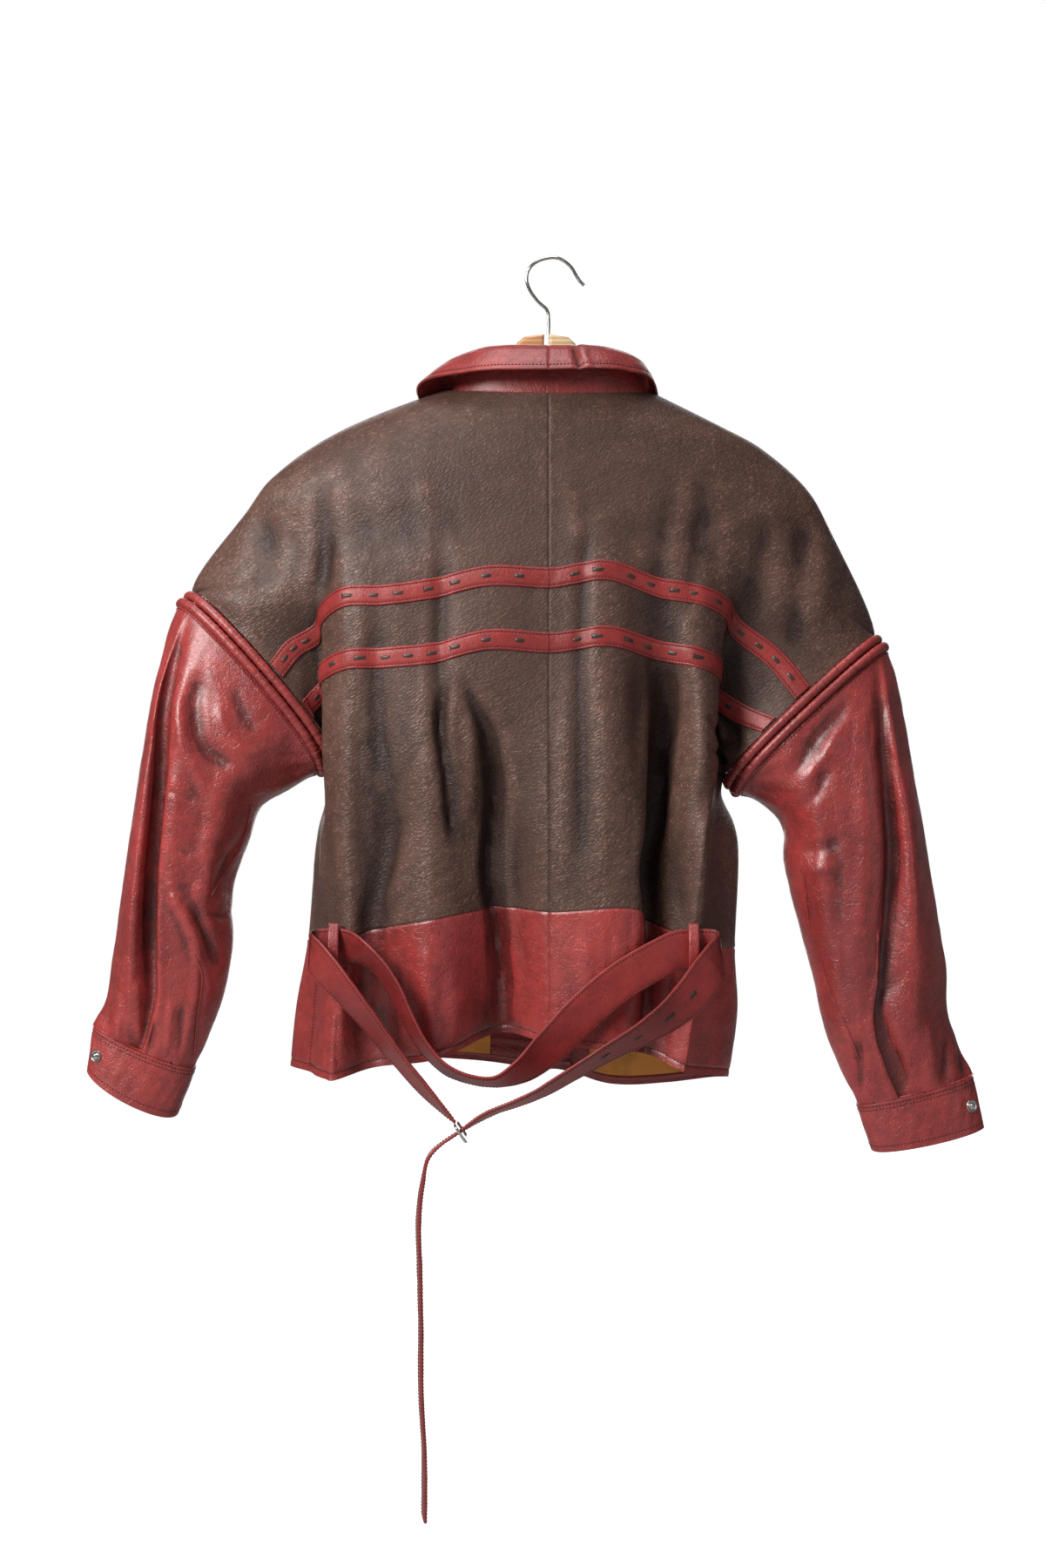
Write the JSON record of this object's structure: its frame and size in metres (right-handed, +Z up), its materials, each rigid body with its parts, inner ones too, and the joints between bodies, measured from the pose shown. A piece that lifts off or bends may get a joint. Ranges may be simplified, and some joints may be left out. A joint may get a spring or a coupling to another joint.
{
  "type": "leather jacket on a wooden coat hanger",
  "caption": "Short leather jacket in olive-brown and red with piped sleeve seams, laced back strips and a loose belt, hung closed on a wooden hanger with a hook.",
  "frame": {"origin": "the inner top of the hanger's hook, where a rail or a wall hook carries it", "axes": "+Z up; +X the wearer's right; +Y the wearer's front, so the pictured back faces -Y"},
  "size_m": [0.8952, 0.2129, 1.2377],
  "materials": {
    "olive_leather": "pebbled, worn, soft sheen",
    "red_leather": "smooth, creased, glossy",
    "lining": "plain mustard lining",
    "wood_pale": "clear varnish",
    "wood_dark": "clear varnish",
    "steel": "nickel plated"
  },
  "bodies": {
    "root": {"back_left": "olive_leather", "back_right": "olive_leather", "front_left": "olive_leather", "front_right": "olive_leather", "band_back_left": "red_leather", "band_back_right": "red_leather", "band_front_left": "red_leather", "band_front_right": "red_leather", "lining_left": "lining", "lining_right": "lining", "facing_left": "red_leather", "strip_high_left": "red_leather", "strip_high_right": "red_leather", "strip_low_left": "red_leather", "strip_low_right": "red_leather", "sleeve_left": "red_leather", "sleeve_right": "red_leather", "roll_upper_left": "red_leather", "roll_lower_left": "red_leather", "roll_upper_right": "red_leather", "roll_lower_right": "red_leather", "cuff_left": "red_leather", "cuff_right": "red_leather", "collar_stand": "red_leather", "collar_fall_left": "red_leather", "collar_fall_right": "red_leather", "snap_stud_left": "steel", "snap_stud_right": "steel", "belt": "red_leather", "belt_buckle": "steel", "belt_loop_left": "red_leather", "belt_loop_right": "red_leather", "hanger_left": "wood_dark", "hanger_right": "wood_pale", "hanger_hook": "steel"}
  },
  "joints": []
}
